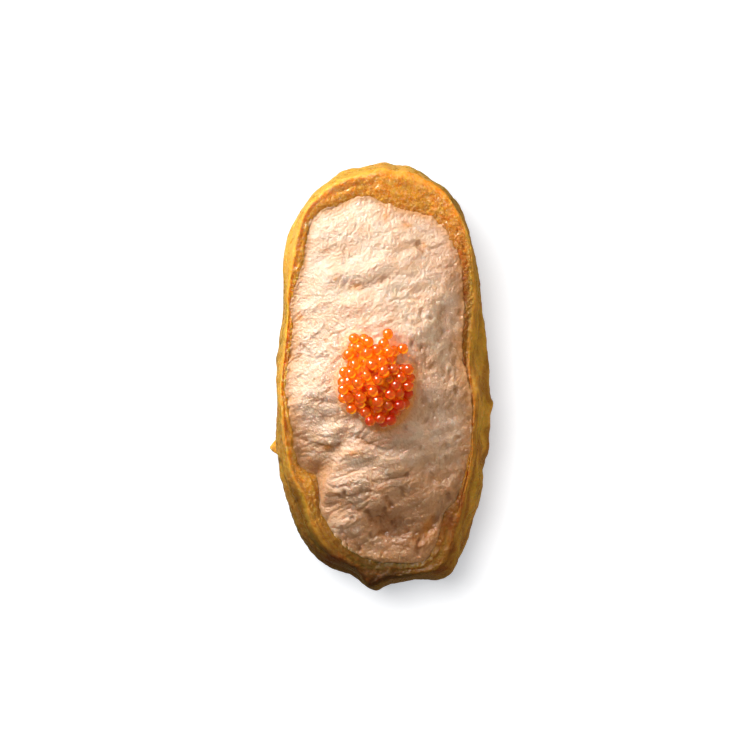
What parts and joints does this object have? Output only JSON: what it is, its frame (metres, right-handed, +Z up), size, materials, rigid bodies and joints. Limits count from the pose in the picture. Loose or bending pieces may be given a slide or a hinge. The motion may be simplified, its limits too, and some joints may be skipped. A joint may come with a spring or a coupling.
{
  "type": "inari sushi",
  "caption": "Open-topped inari sushi: a fried tofu pouch heaped with a pale flaked creamy filling, with a small mound of orange roe on top.",
  "frame": {"origin": "middle of the underside, at the centre of the box seen from above", "axes": "+Y along the pouch towards its rounded upper end, +X across it, +Z up"},
  "size_m": [0.0394, 0.0758, 0.0318],
  "materials": {
    "tofu_skin": "moist fried bean curd skin, mottled golden orange, satin with small wet glints",
    "creamy_flakes": "creamy flaked filling, pale pinkish beige, moist satin",
    "roe": "translucent orange eggs, wet gloss"
  },
  "bodies": {
    "root": {"tofu_pouch": "tofu_skin", "filling": "creamy_flakes", "roe_heap": "roe"}
  },
  "joints": []
}
